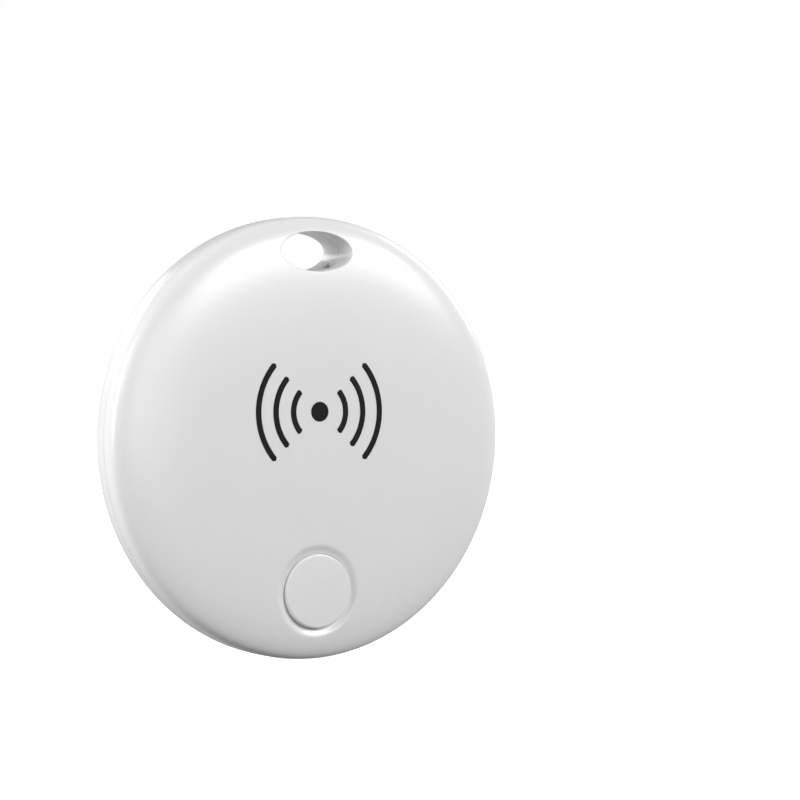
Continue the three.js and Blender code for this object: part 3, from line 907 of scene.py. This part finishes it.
def seals():
    seal = perimeter_band("case_seal_detail", -SEAT_DEPTH + 0.05, -LIP_REACH - 0.05)
    dress(smooth(seal), "silicone", "case", "silicone", ["case_seal"])
    ring = [(3.42, -1.83), (3.46, -1.87), (3.74, -1.87), (3.78, -1.83)]
    ring += [(3.78, -1.72), (3.74, -1.68), (3.46, -1.68), (3.42, -1.72)]
    button_seal = revolve("button_seal_detail", ring, 96, (0, BUTTON_Z))
    dress(smooth(button_seal), "silicone", "case", "silicone", ["button_seal"])


def tact_switch():
    """The switch under the button: a moulded base, a staked steel cover, a plunger and its snap dome."""
    half = 1.6
    base_box = box_part("black_plastic", -half, half, -0.85, -0.2, -half, half, 0.08)
    base = assemble("switch_base_detail", [base_box])
    move_up(base, BUTTON_Z)
    cut(base, disc("dome_room", 1.15, -2, -0.28, 48, (0, BUTTON_Z)))
    dress(base, "black_plastic", "case", "black_plastic", ["switch_base"])
    cover_box = box_part("steel", -half, half, -0.98, -0.88, -half, half, 0.03)
    cover = assemble("switch_cover_detail", [cover_box])
    move_up(cover, BUTTON_Z)
    cut(cover, disc("plunger_hole", 0.68, -2, 0, 48, (0, BUTTON_Z)))
    dress(cover, "steel", "case", "steel", ["switch_cover"])
    plunger = [(0, -1.27), (0.52, -1.27), (0.6, -1.2), (0.6, -0.86), (0.85, -0.86), (0.85, -0.79), (0, -0.79)]
    dome = [(0, -0.77), (0.3, -0.76), (0.62, -0.71), (0.95, -0.62)]
    dome += [(0.95, -0.56), (0.62, -0.65), (0.3, -0.7), (0, -0.71)]
    plunger_obj = smooth(revolve("switch_plunger_detail", plunger, 48, (0, BUTTON_Z)))
    dress(plunger_obj, "black_plastic", "switch", "black_plastic", ["switch_plunger"])
    dome_obj = smooth(revolve("switch_dome_detail", dome, 48, (0, BUTTON_Z)))
    dress(dome_obj, "steel", "switch", "steel", ["switch_dome"])


def move_up(obj, height):
    obj.data.transform(Matrix.Translation((0, 0, height * MM)))


def contacts():
    """The bent strips keep their CAD shape, with their sheared edges rounded."""
    for node in ("negative_contact", "positive_contact", "piezo_spring_signal", "piezo_spring_ground"):
        obj = frame["nodes"][node]
        weld = obj.modifiers.new("weld", "WELD")
        weld.merge_threshold = 0.001 * MM
        bevel = obj.modifiers.new("rounded", "BEVEL")
        bevel.width = 0.03 * MM
        bevel.segments = 2
        bevel.limit_method = "ANGLE"
        bevel.angle_limit = math.radians(40)


# ---- Materials ----
def fill(tree, node, inputs):
    """Fills a node's inputs from sockets, numbers or colours."""
    for place, value in inputs.items():
        if isinstance(value, bpy.types.NodeSocket):
            tree.links.new(value, node.inputs[place])
        else:
            node.inputs[place].default_value = value


def add_node(tree, kind, inputs, **settings):
    node = tree.nodes.new("ShaderNode" + kind)
    for name, value in settings.items():
        setattr(node, name, value)
    fill(tree, node, inputs)
    return node


def math_node(tree, operation, *values):
    return add_node(tree, "Math", dict(enumerate(values)), operation=operation).outputs["Value"]


def new_material(name):
    material = bpy.data.materials.new(name)
    material.use_nodes = True
    return material, material.node_tree, material.node_tree.nodes["Principled BSDF"]


def object_place(tree):
    """The object's own coordinates, in metres."""
    return add_node(tree, "TexCoord", {}).outputs["Object"]


def noise_at(tree, place, feature, detail=3.0):
    """Noise with features of about that many millimetres."""
    inputs = {"Vector": place, "Scale": 1 / (feature * MM), "Detail": detail}
    return add_node(tree, "TexNoise", inputs).outputs["Fac"]


WAVE_UNIT = 0.314  # a wave texture's scale for one band in each unit of length


def weave(tree, pitch):
    """Threads that cross at right angles in the plane of the disc."""
    inputs = {"Vector": object_place(tree), "Scale": WAVE_UNIT / (pitch * MM), "Distortion": 0.3}
    threads = [add_node(tree, "TexWave", inputs, bands_direction=axis).outputs["Fac"] for axis in ("X", "Z")]
    return math_node(tree, "MULTIPLY", *threads)


def streaks(tree, width):
    """Fine rolling marks that run across the disc."""
    stretch = add_node(tree, "Mapping", {"Vector": object_place(tree), "Scale": (0.03, 1, 1)})
    return noise_at(tree, stretch.outputs["Vector"], width)


def cells(tree, size):
    """Small round cells, as in foam or pressed grains."""
    inputs = {"Vector": object_place(tree), "Scale": 1 / (size * MM)}
    return add_node(tree, "TexVoronoi", inputs).outputs["Distance"]


def grains(tree, size):
    return noise_at(tree, object_place(tree), size)


CLOUD = 9.0  # millimetres, the size of the faint unevenness in every colour
CLOUD_SHADE = 0.975
FLECK_SHADE = 0.5
GLOSS_SWING = 0.12
RELIEF = 0.02
COAT_ROUGHNESS = 0.2
SOFT_DEPTH = 0.6


def surface(
    name, colour, roughness, grain=0.12, bump=0.03, soft=0.0, metal=0.0, coat=0.0, shine=0.5,
    pattern=grains, fleck=0.0,
):
    """A faintly uneven colour and gloss under a fine pattern. fleck is how far it shows in the colour."""
    material, tree, shader = new_material(name)
    fine = pattern(tree, grain)
    cloud = noise_at(tree, object_place(tree), CLOUD, 2.0)
    flecks = math_node(tree, "MULTIPLY", fine, fleck)
    mixed = math_node(tree, "MULTIPLY_ADD", cloud, 1 - fleck, flecks)
    tint = add_node(tree, "ValToRGB", {"Fac": mixed})
    low, high = tint.color_ramp.elements
    low.position, high.position = 0.3, 0.7
    low.color = [c * (CLOUD_SHADE - FLECK_SHADE * fleck) for c in colour] + [1]
    high.color = list(colour) + [1]
    swing = {"To Min": roughness * (1 - GLOSS_SWING), "To Max": roughness * (1 + GLOSS_SWING)}
    gloss = add_node(tree, "MapRange", {"Value": fine, **swing})
    relief = add_node(tree, "Bump", {"Strength": bump, "Distance": RELIEF * MM, "Height": fine})
    fill(tree, shader, {
        "Base Color": tint.outputs["Color"],
        "Roughness": gloss.outputs["Result"],
        "Normal": relief.outputs["Normal"],
        "Metallic": metal,
        "Specular IOR Level": shine,
        "Coat Weight": coat,
        "Coat Roughness": COAT_ROUGHNESS,
        "Subsurface Weight": soft,
        "Subsurface Scale": SOFT_DEPTH * MM,
    })
    return material


FRONT_WHITE = (0.80, 0.80, 0.807)
REAR_WHITE = (0.78, 0.78, 0.768)
MATERIALS = {
    "front": surface("satin_white_plastic", FRONT_WHITE, 0.3, soft=0.1, coat=0.35),
    "rear": surface("glossy_white_plastic", REAR_WHITE, 0.17, bump=0.02, soft=0.1, coat=0.4),
    "ink": surface("black_ink", (0.006, 0.006, 0.006), 0.6, grain=0.05, shine=0.15),
    "silicone": surface("grey_silicone", (0.42, 0.42, 0.41), 0.75, grain=0.08, bump=0.1, fleck=0.1),
    "sound_mesh": surface(
        "acoustic_mesh", (0.03, 0.03, 0.028), 0.85, grain=0.14, bump=1.0, pattern=weave, fleck=0.8,
    ),
    "black_plastic": surface("black_plastic", (0.02, 0.02, 0.021), 0.5, grain=0.08, bump=0.1),
    "steel": surface(
        "nickel_plated_steel", (0.66, 0.66, 0.65), 0.24, 0.05, 0.1, metal=1.0, pattern=streaks, fleck=0.1,
    ),
    "cell_fill": surface("pressed_powder", (0.05, 0.05, 0.05), 0.9, bump=0.5, pattern=cells, fleck=0.6),
    "circuit_board": surface(
        "solder_mask", (0.012, 0.1, 0.045), 0.3, 0.3, 0.08, coat=0.3, pattern=weave, fleck=0.12,
    ),
    "chip": surface("epoxy", (0.015, 0.015, 0.017), 0.55, grain=0.04, bump=0.15, fleck=0.3),
    "ceramic": surface("fired_ceramic", (0.6, 0.5, 0.36), 0.5, grain=0.05, bump=0.1, fleck=0.15),
    "brass": surface(
        "rolled_brass", (0.76, 0.56, 0.24), 0.28, 0.05, 0.06, metal=1.0, pattern=streaks, fleck=0.06,
    ),
    "adhesive": surface(
        "foam_adhesive", (0.03, 0.03, 0.033), 0.9, grain=0.1, bump=0.8, pattern=cells, fleck=0.5,
    ),
    "can_steel": surface(
        "can_steel", (0.68, 0.68, 0.67), 0.24, 0.04, 0.15, metal=1.0, pattern=streaks, fleck=0.12,
    ),
    "cap_steel": surface("cap_steel", (0.62, 0.62, 0.6), 0.32, 0.05, 0.2, metal=1.0, fleck=0.15),
    "gold": surface("plated_pads", (0.83, 0.6, 0.22), 0.3, grain=0.04, metal=1.0, bump=0.05),
    "tin": surface("solder", (0.7, 0.7, 0.7), 0.3, grain=0.05, metal=1.0, bump=0.15, fleck=0.1),
    "trace": surface("mask_over_copper", (0.03, 0.2, 0.09), 0.3, grain=0.05, coat=0.3, fleck=0.1),
    "chip_mark": surface("laser_mark", (0.25, 0.25, 0.25), 0.6, grain=0.03, fleck=0.3),
    "tan_ceramic": surface("tan_ceramic", (0.42, 0.3, 0.19), 0.45, grain=0.03, bump=0.08, fleck=0.2),
    "grey_ceramic": surface("grey_ceramic", (0.3, 0.29, 0.27), 0.45, grain=0.03, bump=0.08, fleck=0.2),
    "white_ceramic": surface("white_ceramic", (0.72, 0.72, 0.68), 0.5, grain=0.03, bump=0.08, fleck=0.1),
    "dark_ceramic": surface("dark_ceramic", (0.09, 0.075, 0.065), 0.55, grain=0.03, bump=0.08, fleck=0.2),
    "blue_glaze": surface("blue_glaze", (0.05, 0.13, 0.4), 0.3, grain=0.05, coat=0.4, fleck=0.1),
    "ferrite": surface(
        "ferrite", (0.045, 0.045, 0.048), 0.65, grain=0.04, bump=0.3, pattern=cells, fleck=0.4,
    ),
    "enamel_copper": surface(
        "enamelled_copper", (0.55, 0.2, 0.07), 0.3, grain=0.05, metal=0.9, coat=0.6, fleck=0.1,
    ),
    "silver": surface(
        "silvered_face", (0.72, 0.71, 0.68), 0.45, grain=0.05, metal=0.8, bump=0.15, fleck=0.15,
    ),
}


def dress(obj, material, body=None, slot=None, stands_for=()):
    """Gives a piece its material and body, and hides the CAD nodes it stands for. None keeps what it has.
    slot is not used.
    """
    if material:
        obj.data.materials.clear()
        obj.data.materials.append(MATERIALS[material])
    if body:
        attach(obj, body)
    if stands_for:
        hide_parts(*stands_for)
    return obj


# ---- Stage ----
YAW = math.radians(31.16)
PITCH = math.radians(1.09)
RIGHT = Vector((math.cos(YAW), -math.sin(YAW), 0))
AHEAD = Vector((math.sin(YAW) * math.cos(PITCH), math.cos(YAW) * math.cos(PITCH), -math.sin(PITCH)))
UP = RIGHT.cross(AHEAD)
CENTRE = Vector((0, 0, CENTRE_Z))
CAMERA_PLACE = (0.4367 * RADIUS, 0.1717 * RADIUS, 13.6003 * RADIUS)  # right, up, back
FLOOR_REACH = 3.0  # metres


def seen_at(right, up, back):
    """A point in metres, from millimetres right of the disc's centre, above it and towards the camera."""
    return (CENTRE + right * RIGHT + up * UP - back * AHEAD) * MM


def camera():
    """The photograph's view: a long lens, seen from the tag's left and level with it."""
    data = bpy.data.cameras.new("camera")
    data.lens = 135
    data.sensor_width = 36
    data.clip_start = 0.01
    data.clip_end = 20
    obj = add_object("camera", data)
    turn = Matrix((RIGHT, UP, -AHEAD)).transposed().to_4x4()
    obj.matrix_world = Matrix.Translation(seen_at(*CAMERA_PLACE)) @ turn
    bpy.context.scene.camera = obj


def area_light(name, place, size, power, tall=None):
    """A soft box at (right, up, back) millimetres in the camera's view, turned to the disc's centre."""
    data = bpy.data.lights.new(name, "AREA")
    data.shape = "RECTANGLE"
    data.size = size * MM
    data.size_y = (tall or size) * MM
    data.energy = power
    obj = add_object(name, data)
    obj.location = seen_at(*place)
    obj.rotation_euler = (CENTRE * MM - obj.location).to_track_quat("-Z", "Y").to_euler()


def floor():
    """A white floor that only the camera sees, at the height of the tag's lowest point."""
    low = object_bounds()[0].z
    mesh = bpy.data.meshes.new("floor")
    corners = [(x * FLOOR_REACH, y * FLOOR_REACH, low) for x, y in ((-1, -1), (1, -1), (1, 1), (-1, 1))]
    mesh.from_pydata(corners, [], [[0, 1, 2, 3]])
    obj = add_object("floor", mesh)
    material, tree, shader = new_material("pale_floor")
    fill(tree, shader, {
        "Base Color": (0.9, 0.9, 0.9, 1),
        "Roughness": 0.9,
        "Emission Color": (1, 1, 1, 1),
        "Emission Strength": 1.0,
    })
    obj.data.materials.append(material)
    obj.visible_diffuse = False
    obj.visible_glossy = False
    obj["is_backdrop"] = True


SKY = {"up": 0.03, "down": 0.0, "left": 1.0, "right": 0.42, "front": 0.0, "back": 0.5}


def world():
    """A soft studio: each side has its own brightness, they blend smoothly, and the camera sees white."""
    sides = {"up": UP, "down": -UP, "left": -RIGHT, "right": RIGHT, "front": -AHEAD, "back": AHEAD}
    surroundings = bpy.data.worlds.new("studio")
    surroundings.use_nodes = True
    tree = surroundings.node_tree
    direction = add_node(tree, "TexCoord", {}).outputs["Generated"]
    total = 0.0
    for name, side in sides.items():
        facing = add_node(tree, "VectorMath", {0: direction, 1: side}, operation="DOT_PRODUCT")
        share = math_node(tree, "MAXIMUM", facing.outputs["Value"], 0.0)
        share = math_node(tree, "POWER", share, 2.0)
        total = math_node(tree, "MULTIPLY_ADD", share, SKY[name], total)
    seen = add_node(tree, "LightPath", {}).outputs["Is Camera Ray"]
    strength = math_node(tree, "MAXIMUM", total, seen)
    fill(tree, tree.nodes["Background"], {"Color": (1, 1, 1, 1), "Strength": strength})
    bpy.context.scene.world = surroundings


def lights():
    area_light("right_strip", (400, 165, 210), 300, 1.4, tall=140)
    area_light("front_right", (270, 50, 390), 240, 0.42)
    area_light("left", (-385, 130, 250), 200, 1.6, tall=280)
    area_light("upper_left", (-190, 215, 385), 220, 0.3)
    area_light("top", (-50, 430, 190), 240, 0.06)
    area_light("rear_left", (-330, 190, -330), 260, 0.25, tall=160)
    area_light("rear_right", (330, 230, -260), 200, 0.9)


bpy.context.scene.view_settings.view_transform = "Standard"
slot_of = {row["node"]: row["material_slot"] for row in frame["record"]["subparts"]}
camera()
dress(front_shell(), "front", "case", "shell", ["front_shell"])
dress(rear_shell(), "rear", "rear_cover", "shell", ["rear_shell"])
dress(button_cap(), "front", "button", "shell", ["button_cap"])
dress(sign(), "ink", "case")

for node, obj in frame["nodes"].items():
    if slot_of[node] != "shell":
        dress(obj, slot_of[node])
circuit_board()
board_copper()
components()
cell_detail()
sounder()
seals()
tact_switch()
contacts()

floor()
world()
lights()
